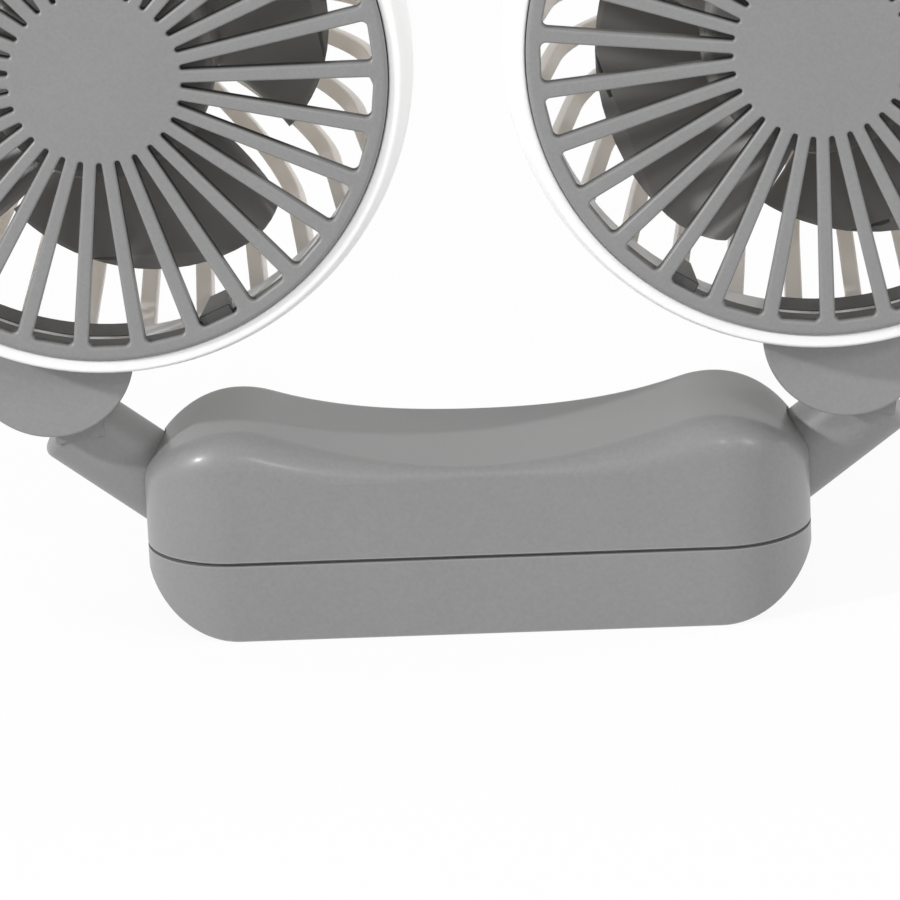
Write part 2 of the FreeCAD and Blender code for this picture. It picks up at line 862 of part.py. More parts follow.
def impeller(turn):
    cup = rod(hub_radius, hub_length, V(0, hub_front, 0), along_y)
    nose = [e for e in cup.Edges if e.BoundBox.YMax < hub_front + near]
    cup = cup.makeFillet(hub_nose, nose)
    cup = cup.cut(rod(hub_radius - hub_wall, hub_length, V(0, hub_front + hub_face, 0), along_y))
    root = hub_front + hub_face / 2
    boss_end = motor_front - motor_boss_length - hub_boss_gap
    added = [rod(hub_boss, boss_end - root, V(0, root, 0), along_y)]
    web_end = hub_front + hub_face + hub_web_depth
    web = block(0, hub_radius - hub_wall / 2, root, web_end, -hub_web / 2, hub_web / 2)
    web.rotate(origin, along_y, 180.0 / blades)
    added += ring_of(web, blades)
    added += ring_of(blade(), blades)
    body = cup.fuse(added)
    body = body.cut(rod(shaft_radius, hub_length, V(0, hub_front + shaft_cover, 0), along_y))
    body.rotate(origin, along_y, turn)
    return body


def save(name, shape):
    shape.exportStep("parts/" + name + ".step")


os.makedirs("parts", exist_ok=True)
outer = pack_outer()
save("body_upper_shell", upper_shell(outer))
save("body_lower_shell", lower_shell(outer))
save("battery_cradle", cradle())
save("battery_cell", cell())
save("circuit_board", board())
save("charging_inlet", inlet())
save("button_switch", switch())
save("power_button", button())
save("status_light", status_light())
for number, (screw_x, screw_y) in enumerate(screw_spots(), 1):
    save("pack_screw_%d" % number, pack_screw(screw_x, screw_y))

both_cages = cage()
both_motors = motor()
both_shafts = motor_shaft()
for side, word, turn in ((left, "left", blade_turn_left), (right, "right", blade_turn_right)):
    save("arm_" + word, arm(side))
    save("arm_bush_" + word, bush(side))
    save("arm_clip_" + word, clip(side))
    save("hinge_washer_" + word, washer(side))
    save("hinge_pin_" + word, hinge_pin(side))
    save("head_lug_" + word, lug(side))
    save("front_grille_" + word, at_head(grille(side), side))
    save("rear_cage_" + word, at_head(both_cages, side).cut(lug_plate(side, lug_seat_gap)))
    save("motor_" + word, at_head(both_motors, side))
    save("motor_shaft_" + word, at_head(both_shafts, side))
    save("impeller_" + word, at_head(impeller(turn), side))
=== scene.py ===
# %% [markdown]
# Electric neck fan
#
# Two round fan heads stand on short arms at the ends of a saddle-shaped power pack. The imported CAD
# model already holds every piece at its real size, so this lesson never moves one. It gives each
# surface its finish, and builds again the pieces that repeat a shape many times: the slotted
# grilles, the ribbed cages and the bladed impellers.

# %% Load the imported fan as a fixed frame
import json
import math

import bmesh
import bpy
from mathutils import Matrix, Vector


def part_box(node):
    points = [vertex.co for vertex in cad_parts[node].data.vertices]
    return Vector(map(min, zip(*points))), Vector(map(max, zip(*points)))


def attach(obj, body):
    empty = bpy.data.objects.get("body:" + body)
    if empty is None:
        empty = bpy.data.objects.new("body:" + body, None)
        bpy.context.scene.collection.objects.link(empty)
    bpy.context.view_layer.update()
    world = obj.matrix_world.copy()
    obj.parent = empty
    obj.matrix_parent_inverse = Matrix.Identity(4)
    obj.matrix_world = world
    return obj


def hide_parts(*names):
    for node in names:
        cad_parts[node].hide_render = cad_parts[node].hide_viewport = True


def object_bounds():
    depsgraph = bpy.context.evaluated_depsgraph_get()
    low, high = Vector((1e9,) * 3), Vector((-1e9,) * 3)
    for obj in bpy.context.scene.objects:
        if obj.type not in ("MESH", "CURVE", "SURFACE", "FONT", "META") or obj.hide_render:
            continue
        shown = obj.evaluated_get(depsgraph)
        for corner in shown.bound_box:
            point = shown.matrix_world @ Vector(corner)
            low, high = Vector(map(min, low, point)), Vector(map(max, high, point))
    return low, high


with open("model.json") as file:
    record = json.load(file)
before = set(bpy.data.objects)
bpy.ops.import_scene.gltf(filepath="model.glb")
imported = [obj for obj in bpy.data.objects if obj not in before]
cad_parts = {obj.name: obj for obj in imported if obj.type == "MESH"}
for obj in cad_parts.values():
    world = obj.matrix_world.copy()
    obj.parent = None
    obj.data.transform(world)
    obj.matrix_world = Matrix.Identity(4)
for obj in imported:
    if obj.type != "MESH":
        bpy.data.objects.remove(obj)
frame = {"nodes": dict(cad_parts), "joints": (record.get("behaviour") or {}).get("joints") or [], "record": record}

cad_low, cad_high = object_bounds()
print("CAD box from", cad_low[:], "to", cad_high[:])

# %% [markdown]
# Where the heads are
#
# Each head turns about a hinge, and its impeller spins about an axis that runs front to back. The
# joint list gives that axis, and the grille's box gives the front face. One point for each head is
# then enough: pieces of a head are drawn about the Y axis with the grille's face at depth zero, and
# moved to that point when they are finished.

# %% Find the front centre of each head
MM = 0.001
SIDES = ("left", "right")
joints = {joint["name"]: joint for joint in frame["joints"]}


def head_place(side):
    axis_x, _, axis_z = joints[side + "_impeller_spin"]["pos_m"]
    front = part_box("front_grille_" + side)[0].y
    return Vector((axis_x, front, axis_z))


for side in SIDES:
    print(side, "head at", head_place(side)[:])

# %% [markdown]
# The camera
#
# The picture was taken with a long lens from a little above the table, slightly to one side, with
# the camera not quite level. A long lens far away keeps both heads nearly round. The camera is
# aimed at the point that lies in the middle of the picture, so it needs no lens shift.

# %% Set the camera
VIEW_TARGET = Vector((-3.75, 0.0, 22.75)) * MM
VIEW_DISTANCE = 1000.0 * MM
VIEW_ELEVATION = math.radians(17.62)
VIEW_TURN = math.radians(-1.69)
VIEW_ROLL = math.radians(2.53)
VIEW_REACH = 20.0
LENS = 279.5
SENSOR = 36.0


def aim_camera():
    level = math.cos(VIEW_ELEVATION)
    ahead = Vector((math.sin(VIEW_TURN) * level, math.cos(VIEW_TURN) * level, -math.sin(VIEW_ELEVATION)))
    right = ahead.cross(Vector((0.0, 0.0, 1.0))).normalized()
    up = right.cross(ahead)
    rolled_right = right * math.cos(VIEW_ROLL) - up * math.sin(VIEW_ROLL)
    rolled_up = right * math.sin(VIEW_ROLL) + up * math.cos(VIEW_ROLL)
    turn = Matrix((rolled_right, rolled_up, -ahead)).transposed().to_4x4()
    lens = bpy.data.cameras.new("camera")
    lens.lens = LENS
    lens.sensor_width = SENSOR
    lens.clip_end = VIEW_REACH
    camera = bpy.data.objects.new("camera", lens)
    bpy.context.scene.collection.objects.link(camera)
    camera.matrix_world = Matrix.Translation(VIEW_TARGET - ahead * VIEW_DISTANCE) @ turn
    bpy.context.scene.camera = camera
    return camera


print("camera at", aim_camera().location[:])

# %% [markdown]
# Light
#
# A small lamp stands to the left, about a third of the way up, and throws a crisp shadow. It is weak
# beside the white tent round the object, which does most of the lighting. The tent's walls are white
# and its roof is dimmer, as in a tent lit through its walls: that leaves a darker line along the
# crown of the pack. One big lamp could light it all, but the rounded edges would look dull. Faint
# softboxes in front, on the right and behind draw bright lines on them.

# %% Light the scene
TENT_WALL = 0.76
TENT_ROOF = 0.50
ROOF_STARTS = 0.3
# Place and width in metres, power in watts
SOFTBOXES = {
    "key_light": (Vector((-1.17, -0.67, 0.72)), 0.07, 13.4),
    "front_light": (Vector((0.25, -1.35, 0.80)), 0.14, 2.4),
    "right_light": (Vector((0.95, -0.75, 0.60)), 0.30, 3.0),
    "rim_light": (Vector((1.15, 0.55, 0.45)), 0.40, 3.0),
}


def join(tree, source, out_name, target, in_name):
    tree.links.new(source.outputs[out_name], target.inputs[in_name])


def white_tent():
    world = bpy.data.worlds.new("white_tent")
    world.use_nodes = True
    tree = world.node_tree
    tree.nodes.clear()
    way = tree.nodes.new("ShaderNodeTexCoord")
    split = tree.nodes.new("ShaderNodeSeparateXYZ")
    rise = tree.nodes.new("ShaderNodeMapRange")
    rise.inputs["From Min"].default_value = ROOF_STARTS
    rise.inputs["To Min"].default_value = TENT_WALL
    rise.inputs["To Max"].default_value = TENT_ROOF
    cloth = tree.nodes.new("ShaderNodeBackground")
    cloth.inputs["Color"].default_value = (1.0, 1.0, 1.0, 1.0)
    out = tree.nodes.new("ShaderNodeOutputWorld")
    join(tree, way, "Generated", split, "Vector")
    join(tree, split, "Z", rise, "Value")
    join(tree, rise, "Result", cloth, "Strength")
    join(tree, cloth, "Background", out, "Surface")
    bpy.context.scene.world = world


def softbox(name, place, width, power):
    lamp = bpy.data.lights.new(name, "AREA")
    lamp.shape = "SQUARE"
    lamp.size = width
    lamp.energy = power
    holder = bpy.data.objects.new(name, lamp)
    bpy.context.scene.collection.objects.link(holder)
    holder.location = place
    middle = (cad_low + cad_high) / 2
    holder.rotation_euler = (middle - place).to_track_quat("-Z", "Y").to_euler()


white_tent()
for name, (place, width, power) in SOFTBOXES.items():
    softbox(name, place, width, power)
bpy.context.scene.view_settings.view_transform = "Standard"
print(len(SOFTBOXES), "softboxes in a white tent")

# %% [markdown]
# Floor
#
# The fan stands on a plain white table. More light could wash the table out to white, but it would
# fall on the grey plastic too. Light Path tells the table's material instead which rays come straight
# from the camera, a mirror or a glass. Those rays see a white glow that still holds a trace of the
# fan's shadow, and all other light bounces off a plain pale grey.

# %% Lay the floor
FLOOR_HALF = 3.0
FLOOR_SHOWN = 0.90
FLOOR_BOUNCE = 0.62
FLOOR_GLOW = 0.91


def arithmetic(tree, operation):
    node = tree.nodes.new("ShaderNodeMath")
    node.operation = operation
    return node


def seen_directly(tree):
    path = tree.nodes.new("ShaderNodeLightPath")
    first = arithmetic(tree, "MAXIMUM")
    second = arithmetic(tree, "MAXIMUM")
    tree.links.new(path.outputs["Is Camera Ray"], first.inputs[0])
    tree.links.new(path.outputs["Is Glossy Ray"], first.inputs[1])
    tree.links.new(first.outputs[0], second.inputs[0])
    tree.links.new(path.outputs["Is Transmission Ray"], second.inputs[1])
    return second


def white_floor():
    table = bpy.data.materials.new("white_floor")
    table.use_nodes = True
    tree = table.node_tree
    tree.nodes.clear()
    direct = seen_directly(tree)
    tone = tree.nodes.new("ShaderNodeMapRange")
    tone.inputs["To Min"].default_value = FLOOR_BOUNCE
    tone.inputs["To Max"].default_value = FLOOR_SHOWN
    paint = tree.nodes.new("ShaderNodeBsdfDiffuse")
    glow = tree.nodes.new("ShaderNodeEmission")
    share = arithmetic(tree, "MULTIPLY")
    share.inputs[1].default_value = FLOOR_GLOW
    mixed = tree.nodes.new("ShaderNodeMixShader")
    out = tree.nodes.new("ShaderNodeOutputMaterial")
    tree.links.new(direct.outputs[0], tone.inputs["Value"])
    join(tree, tone, "Result", paint, "Color")
    tree.links.new(direct.outputs[0], share.inputs[0])
    tree.links.new(share.outputs[0], mixed.inputs[0])
    tree.links.new(paint.outputs[0], mixed.inputs[1])
    tree.links.new(glow.outputs[0], mixed.inputs[2])
    join(tree, mixed, "Shader", out, "Surface")
    sheet = bpy.data.meshes.new("floor")
    corners = [(-1, -1), (1, -1), (1, 1), (-1, 1)]
    sheet.from_pydata([(x * FLOOR_HALF, y * FLOOR_HALF, 0.0) for x, y in corners], [], [(0, 1, 2, 3)])
    sheet.materials.append(table)
    floor = bpy.data.objects.new("floor", sheet)
    bpy.context.scene.collection.objects.link(floor)


white_floor()
print("floor", 2 * FLOOR_HALF, "m across")

# %% [markdown]
# The skin of moulded plastic
#
# Nearly every piece here is injection moulded. A moulded skin is never one flat colour: it has a fine
# spark-eroded grain from the mould, which also speckles its colour, and a faint cloudiness from the
# melt. Every finish has both at other strengths, so they are one shader group that gives a colour, a
# roughness and a height, and each finish places it with its own values.

# %% Build the moulded skin group
CLOUD_SCALE = 55.0
CLOUD_DETAIL = 4.0
GRAIN_DETAIL = 2.0
NOISE_MIDDLE = 0.5


def group_with(name, inputs, outputs):
    tree = bpy.data.node_groups.new(name, "ShaderNodeTree")
    for label, kind in inputs:
        tree.interface.new_socket(label, in_out="INPUT", socket_type=kind)
    for label, kind in outputs:
        tree.interface.new_socket(label, in_out="OUTPUT", socket_type=kind)
    return tree, tree.nodes.new("NodeGroupInput"), tree.nodes.new("NodeGroupOutput")


def scaled(tree, source, amount, base):
    part = arithmetic(tree, "MULTIPLY_ADD")
    tree.links.new(source, part.inputs[0])
    tree.links.new(amount, part.inputs[1])
    if isinstance(base, float):
        part.inputs[2].default_value = base
    else:
        tree.links.new(base, part.inputs[2])
    return part.outputs[0]


def centred(tree, noise):
    part = arithmetic(tree, "SUBTRACT")
    part.inputs[1].default_value = NOISE_MIDDLE
    tree.links.new(noise, part.inputs[0])
    return part.outputs[0]


def moulded_skin():
    number = "NodeSocketFloat"
    inputs = (("Colour", "NodeSocketColor"), ("Cloud", number), ("Speckle", number),
              ("Roughness", number), ("Roughness drift", number), ("Grain scale", number))
    outputs = (("Colour", "NodeSocketColor"), ("Roughness", number), ("Height", number))
    tree, given, made = group_with("moulded_skin", inputs, outputs)
    spot = tree.nodes.new("ShaderNodeTexCoord")
    cloud = tree.nodes.new("ShaderNodeTexNoise")
    cloud.inputs["Scale"].default_value = CLOUD_SCALE
    cloud.inputs["Detail"].default_value = CLOUD_DETAIL
    grain = tree.nodes.new("ShaderNodeTexNoise")
    grain.inputs["Detail"].default_value = GRAIN_DETAIL
    join(tree, spot, "Object", cloud, "Vector")
    join(tree, spot, "Object", grain, "Vector")
    join(tree, given, "Grain scale", grain, "Scale")
    drift = centred(tree, cloud.outputs["Fac"])
    speck = centred(tree, grain.outputs["Fac"])
    cloudy = scaled(tree, drift, given.outputs["Cloud"], 1.0)
    tint = tree.nodes.new("ShaderNodeHueSaturation")
    tree.links.new(scaled(tree, speck, given.outputs["Speckle"], cloudy), tint.inputs["Value"])
    join(tree, given, "Colour", tint, "Color")
    join(tree, tint, "Color", made, "Colour")
    rough = scaled(tree, speck, given.outputs["Roughness drift"], given.outputs["Roughness"])
    tree.links.new(rough, made.inputs["Roughness"])
    join(tree, grain, "Fac", made, "Height")
    return tree


MOULDED_SKIN = moulded_skin()
print("group", MOULDED_SKIN.name)

# %% [markdown]
# Painted edge sheen
#
# Corners of satin plastic catch the light in a thin bright line. Here that line is painted into the
# colour as a highlight, so every corner is lighter whatever lamp falls on it. The Bevel node finds
# them on any mesh: near a corner its softened normal leaves the true normal, and how far it leaves
# is the mask. It doesn't depend on how a surface is divided, so it works on CAD triangles too.

# %% Build the painted edge sheen group
BEVEL_SAMPLES = 6
MIX_SHARE, MIX_PLAIN, MIX_OTHER, MIX_RESULT = 0, 6, 7, 2


def vector_arithmetic(tree, operation):
    node = tree.nodes.new("ShaderNodeVectorMath")
    node.operation = operation
    return node


def colour_mix(tree, share, plain):
    # The Mix node has a set of sockets for each kind of data, and the colour set is known by number
    blend = tree.nodes.new("ShaderNodeMix")
    blend.data_type = "RGBA"
    tree.links.new(share, blend.inputs[MIX_SHARE])
    tree.links.new(plain, blend.inputs[MIX_PLAIN])
    return blend.inputs[MIX_OTHER], blend.outputs[MIX_RESULT]


# Painted highlight: this group lightens the colour along every corner
def rubbed_edge():
    colour, number = "NodeSocketColor", "NodeSocketFloat"
    inputs = (("Colour", colour), ("Edge colour", colour), ("Width", number), ("Gain", number))
    tree, given, made = group_with("rubbed_edge", inputs, (("Colour", colour),))
    soft = tree.nodes.new("ShaderNodeBevel")
    soft.samples = BEVEL_SAMPLES
    join(tree, given, "Width", soft, "Radius")
    true = tree.nodes.new("ShaderNodeNewGeometry")
    match = vector_arithmetic(tree, "DOT_PRODUCT")
    tree.links.new(soft.outputs["Normal"], match.inputs[0])
    tree.links.new(true.outputs["Normal"], match.inputs[1])
    away = arithmetic(tree, "SUBTRACT")
    away.inputs[0].default_value = 1.0
    tree.links.new(match.outputs["Value"], away.inputs[1])
    mask = arithmetic(tree, "MULTIPLY")
    mask.use_clamp = True
    tree.links.new(away.outputs[0], mask.inputs[0])
    join(tree, given, "Gain", mask, 1)
    edge, result = colour_mix(tree, mask.outputs[0], given.outputs["Colour"])
    tree.links.new(given.outputs["Edge colour"], edge)
    tree.links.new(result, made.inputs["Colour"])
    return tree


PAINTED_EDGE_SHEEN = rubbed_edge()
print("group", PAINTED_EDGE_SHEEN.name)

# %% [markdown]
# A recipe for every finish
#
# A finish is a colour, a gloss and a grain. Each could be built by hand in the shader editor, but they
# differ only in their values, so one function places the groups and sets the rest. Colours are written
# as the eye sees them on a scale to 255, and turned into the linear values that the shader needs.

# %% Write the finish recipe
ROUGH_DRIFT = 0.12
GRAIN_DEPTH = 0.05 * MM
# Width and strength of the painted highlight along the corners
SHEEN_WIDTH = 0.5 * MM
SHEEN_GAIN = 2.2
COAT_ROUGH = 0.22


def linear(*shown):
    values = [c / 255.0 for c in shown]
    return tuple(c / 12.92 if c <= 0.04045 else ((c + 0.055) / 1.055) ** 2.4 for c in values) + (1.0,)


def placed_group(tree, group, values):
    part = tree.nodes.new("ShaderNodeGroup")
    part.node_tree = group
    for label, value in values.items():
        part.inputs[label].default_value = value
    return part


def finish(name, colour, rough, grain, bump, edge=None, metal=0.0, cloud=0.10, speckle=0.04, coat=0.0):
    made = bpy.data.materials.new(name)
    made.use_nodes = True
    tree = made.node_tree
    values = {"Colour": linear(*colour), "Cloud": cloud, "Speckle": speckle, "Roughness": rough,
              "Roughness drift": ROUGH_DRIFT, "Grain scale": grain}
    skin = placed_group(tree, MOULDED_SKIN, values)
    surface = tree.nodes["Principled BSDF"]
    surface.inputs["Metallic"].default_value = metal
    surface.inputs["Coat Weight"].default_value = coat
    surface.inputs["Coat Roughness"].default_value = COAT_ROUGH
    dent = tree.nodes.new("ShaderNodeBump")
    dent.inputs["Strength"].default_value = bump
    dent.inputs["Distance"].default_value = GRAIN_DEPTH
    join(tree, skin, "Height", dent, "Height")
    join(tree, dent, "Normal", surface, "Normal")
    join(tree, skin, "Roughness", surface, "Roughness")
    if edge is None:
        join(tree, skin, "Colour", surface, "Base Color")
        return made
    # Painted highlight along the corners, in the edge colour
    values = {"Edge colour": linear(*edge), "Width": SHEEN_WIDTH, "Gain": SHEEN_GAIN}
    rub = placed_group(tree, PAINTED_EDGE_SHEEN, values)
    join(tree, skin, "Colour", rub, "Colour")
    join(tree, rub, "Colour", surface, "Base Color")
    return made


print("rubbed edges", SHEEN_WIDTH / MM, "mm wide")

# %% [markdown]
# Finishes
#
# The pack, arms, lugs and grilles are one grey satin plastic, each with its own tone. The pack has a
# thin polished skin over the satin, so a highlight on it has a bright core in a wide glow. The impellers
# are a darker grey, and the metal pieces have a finer grain and no painted edge highlight.

# %% Mix the finishes
def grey(level):
    return level, level, level


RECIPES = {
    "pack_grey": dict(colour=grey(132), rough=0.46, grain=1900.0, bump=0.08, edge=grey(166), speckle=0.22,
                      coat=0.30),
    "arm_grey": dict(colour=grey(136), rough=0.42, grain=1900.0, bump=0.08, speckle=0.20),
    "lug_grey": dict(colour=grey(137), rough=0.42, grain=1900.0, bump=0.08, edge=grey(164), speckle=0.20),
    "grille_grey": dict(colour=grey(134), rough=0.36, grain=2200.0, bump=0.10, edge=grey(200),
                        speckle=0.22),
    "cage_white": dict(colour=grey(250), rough=0.34, grain=1600.0, bump=0.06, cloud=0.03),
    "blade_grey": dict(colour=(129, 127, 124), rough=0.38, grain=1500.0, bump=0.10, edge=(147, 145, 142)),
    "motor_metal": dict(colour=(196, 197, 200), rough=0.30, grain=4200.0, bump=0.16, metal=1.0),
    "steel": dict(colour=(190, 191, 194), rough=0.26, grain=5200.0, bump=0.14, metal=1.0),
    "nylon": dict(colour=(236, 232, 218), rough=0.48, grain=1800.0, bump=0.08, cloud=0.16),
    "cell_sleeve": dict(colour=(66, 128, 178), rough=0.24, grain=900.0, bump=0.05, cloud=0.12),
    "cradle_black": dict(colour=(44, 44, 45), rough=0.55, grain=1500.0, bump=0.16, edge=(70, 70, 71)),
    "board_green": dict(colour=(30, 98, 62), rough=0.30, grain=700.0, bump=0.20, cloud=0.40),
    "switch_black": dict(colour=(48, 48, 50), rough=0.45, grain=2400.0, bump=0.10, edge=(74, 74, 76)),
    "button_white": dict(colour=(232, 231, 229), rough=0.36, grain=2000.0, bump=0.08, edge=(246, 246, 245),
                         cloud=0.05),
    "light_clear": dict(colour=(226, 232, 236), rough=0.12, grain=1200.0, bump=0.03, cloud=0.08),
}
FINISHES = {name: finish(name, **recipe) for name, recipe in RECIPES.items()}
print(len(FINISHES), "finishes")

# %% [markdown]
# Inside colours
#
# The ring at the front is a clean white, and the ribs behind it are tinted cream: a painted warm tone
# for the shade they sit in deep inside the head. The grille's skirt and tabs behind its face carry
# painted shade: they are darkened for the shadow inside the head, though the plastic is the same grey
# as the face. Each is one moulding, so each is one finish whose colour changes with the distance
# behind the front of the head. Object coordinates give that distance at every point. The lug carries
# painted shade too where it shows inside the ring, for the shadow under the rim of the grille, and
# there the distance that counts is the one from the axis of the head. The white plastic also lets a
# little light in, which softens the shade on the ring.

# %% Tint the cage and the grille by depth and the lug by radius
# Painted shade: a warm cream tone for the ribs deep inside the head
CREAM = (248, 241, 233)
CREAM_STARTS = 14.6 * MM
CREAM_FULL = 17.0 * MM
# Painted shade on the grille behind its face, for the shadow inside the head
GRILLE_PAINTED_SHADE = (40, 40, 39)
GRILLE_SHADE_STARTS = 0.4 * MM
GRILLE_SHADE_FULL = 1.1 * MM
# Painted shade on the lug where it shows inside the ring, for the shadow under the grille's rim
LUG_PAINTED_SHADE = (40, 40, 40)
LUG_SHOWS = 40.6 * MM
LUG_HIDDEN = 41.2 * MM
SOFT_SHARE = 0.4
SOFT_REACH = 2.0 * MM


def tint_where(made, colour, distance, start, full):
    tree = made.node_tree
    surface = tree.nodes["Principled BSDF"]
    plain = surface.inputs["Base Color"].links[0].from_socket
    reach = tree.nodes.new("ShaderNodeMapRange")
    reach.inputs["From Min"].default_value = start
    reach.inputs["From Max"].default_value = full
    tree.links.new(distance, reach.inputs["Value"])
    tint, result = colour_mix(tree, reach.outputs["Result"], plain)
    tint.default_value = linear(*colour)
    tree.links.new(result, surface.inputs["Base Color"])


def from_head_axis(tree, place):
    # The two heads mirror each other, so the sign of X is dropped
    spot = tree.nodes.new("ShaderNodeTexCoord")
    fold = vector_arithmetic(tree, "ABSOLUTE")
    away = vector_arithmetic(tree, "SUBTRACT")
    away.inputs[1].default_value = (abs(place.x), 0.0, place.z)
    flat = vector_arithmetic(tree, "MULTIPLY")
    flat.inputs[1].default_value = (1.0, 0.0, 1.0)
    size = vector_arithmetic(tree, "LENGTH")
    join(tree, spot, "Object", fold, 0)
    join(tree, fold, "Vector", away, 0)
    join(tree, away, "Vector", flat, 0)
    join(tree, flat, "Vector", size, 0)
    return size.outputs["Value"]


def depth_of(tree):
    spot = tree.nodes.new("ShaderNodeTexCoord")
    split = tree.nodes.new("ShaderNodeSeparateXYZ")
    join(tree, spot, "Object", split, "Vector")
    return split.outputs["Y"]


front = head_place("left").y
cage_look = FINISHES["cage_white"]
grille_look = FINISHES["grille_grey"]
lug_look = FINISHES["lug_grey"]
lug_distance = from_head_axis(lug_look.node_tree, head_place("right"))
# Painted shade: the ribs take a warm cream tone for the shade inside the head
tint_where(cage_look, CREAM, depth_of(cage_look.node_tree), front + CREAM_STARTS, front + CREAM_FULL)
# Painted shade: the grille darkens behind its face, for the shadow inside the head
tint_where(grille_look, GRILLE_PAINTED_SHADE, depth_of(grille_look.node_tree), front + GRILLE_SHADE_STARTS, front + GRILLE_SHADE_FULL)
# Painted shade: the lug darkens inside the ring, for the shadow under the grille's rim
tint_where(lug_look, LUG_PAINTED_SHADE, lug_distance, LUG_HIDDEN, LUG_SHOWS)
soft_white = cage_look.node_tree.nodes["Principled BSDF"].inputs
soft_white["Subsurface Weight"].default_value = SOFT_SHARE
soft_white["Subsurface Scale"].default_value = SOFT_REACH
soft_white["Subsurface Radius"].default_value = (1.0, 1.0, 1.0)
print("cream, bare and lug tints placed")

# %% [markdown]
# Dress the CAD nodes
#
# The shells, arms, lugs, pins and everything inside the pack have their true shape in CAD, so they
# stay as they are. Each node takes the finish of the material slot that the record gives it, but the
# lugs, which share the arms' slot, take the one with painted shade inside the ring and a painted
# highlight on the edges.

# %% Give every CAD node its finish
slot_of = {row["node"]: row["material_slot"] for row in frame["record"]["subparts"]}
for name, node in frame["nodes"].items():
    look = "lug_grey" if name.startswith("head_lug") else slot_of[name]
    node.data.materials.clear()
    node.data.materials.append(FINISHES[look])
print(len(slot_of), "nodes dressed")

# %% [markdown]
# Repeat a shape round an axis
#
# A grille is thirty slots, a cage thirty ribs and an impeller four blades, each the same shape turned
# about one axis. Copying a mesh by hand would work, but a Geometry Nodes tree says it once: points
# that carry an angle each, one instance at every point, then real geometry, welded and given its
# finish. The same tree serves all three pieces through its named inputs.

# %% Build the round array tree
def round_array():
    tree = bpy.data.node_groups.new("round_array", "GeometryNodeTree")
    face = tree.interface
    face.new_socket("Geometry", in_out="INPUT", socket_type="NodeSocketGeometry")
    sockets = {}
    for label, kind in (("Count", "NodeSocketInt"), ("Start angle", "NodeSocketFloat"),
                        ("Weld distance", "NodeSocketFloat"), ("Finish", "NodeSocketMaterial")):
        sockets[label] = face.new_socket(label, in_out="INPUT", socket_type=kind).identifier
    face.new_socket("Geometry", in_out="OUTPUT", socket_type="NodeSocketGeometry")
    given = tree.nodes.new("NodeGroupInput")
    made = tree.nodes.new("NodeGroupOutput")
    points = tree.nodes.new("GeometryNodePoints")
    index = tree.nodes.new("GeometryNodeInputIndex")
    step = arithmetic(tree, "DIVIDE")
    step.inputs[0].default_value = 2.0 * math.pi
    turn = arithmetic(tree, "MULTIPLY_ADD")
    about = tree.nodes.new("ShaderNodeCombineXYZ")
    euler = tree.nodes.new("FunctionNodeEulerToRotation")
    copies = tree.nodes.new("GeometryNodeInstanceOnPoints")
    weld = tree.nodes.new("GeometryNodeMergeByDistance")
    real = tree.nodes.new("GeometryNodeRealizeInstances")
    dress = tree.nodes.new("GeometryNodeSetMaterial")
    join(tree, given, "Count", points, "Count")
    join(tree, given, "Count", step, 1)
    tree.links.new(index.outputs[0], turn.inputs[0])
    tree.links.new(step.outputs[0], turn.inputs[1])
    join(tree, given, "Start angle", turn, 2)
    tree.links.new(turn.outputs[0], about.inputs["Y"])
    tree.links.new(about.outputs[0], euler.inputs[0])
    join(tree, points, "Points", copies, "Points")
    join(tree, given, "Geometry", copies, "Instance")
    join(tree, euler, "Rotation", copies, "Rotation")
    join(tree, copies, "Instances", real, "Geometry")
    join(tree, real, "Geometry", weld, "Geometry")
    join(tree, given, "Weld distance", weld, "Distance")
    join(tree, weld, "Geometry", dress, "Geometry")
    join(tree, given, "Finish", dress, "Material")
    join(tree, dress, "Geometry", made, "Geometry")
    return tree, sockets


ROUND_ARRAY, ARRAY_INPUT = round_array()
print("round array inputs", list(ARRAY_INPUT))

# %% [markdown]
# From a tree to a plain mesh
#
# A modifier is only a rule, and a rule can't ride on a body. So a working object holds the mesh and its
# modifier, Blender works the result out, and the result is kept as a plain mesh while the working
# object is thrown away. Moulded corners are never sharp, so the same way eases them with a bevel.

# %% Turn a working object into a plain mesh
WELD = 0.001 * MM
EASE_STEPS = 3
EASE_FROM = math.radians(40.0)


def plain_mesh(holder):
    graph = bpy.context.evaluated_depsgraph_get()
    mesh = bpy.data.meshes.new_from_object(holder.evaluated_get(graph))
    bpy.data.objects.remove(holder)
    return mesh


def held(mesh):
    holder = bpy.data.objects.new("in_work", mesh)
    bpy.context.scene.collection.objects.link(holder)
    return holder


def repeated(mesh, count, start, dressing):
    holder = held(mesh)
    array = holder.modifiers.new("round_array", "NODES")
    array.node_group = ROUND_ARRAY
    array[ARRAY_INPUT["Count"]] = count
    array[ARRAY_INPUT["Start angle"]] = math.radians(start)
    array[ARRAY_INPUT["Weld distance"]] = WELD
    array[ARRAY_INPUT["Finish"]] = dressing
    return plain_mesh(holder)


def eased(mesh, width):
    holder = held(mesh)
    ease = holder.modifiers.new("ease", "BEVEL")
    ease.width = width
    ease.segments = EASE_STEPS
    ease.limit_method = "ANGLE"
    ease.angle_limit = EASE_FROM
    return plain_mesh(holder)


def from_bmesh(name, shape):
    bmesh.ops.remove_doubles(shape, verts=shape.verts, dist=WELD)
    bmesh.ops.recalc_face_normals(shape, faces=shape.faces)
    mesh = bpy.data.meshes.new(name)
    shape.to_mesh(mesh)
    shape.free()
    return mesh


print("welds points within", WELD / MM, "mm")

# %% [markdown]
# Turned forms
#
# The ring, the motor cup and the impeller's hub are round about the head's axis. On a lathe one would
# cut a profile; here a profile of radius and depth is spun once round. Corners are eased afterwards
# by a bevel that only takes sharp angles.

# %% Spin a profile
AROUND = 144
SHARP_FROM = math.radians(38.0)


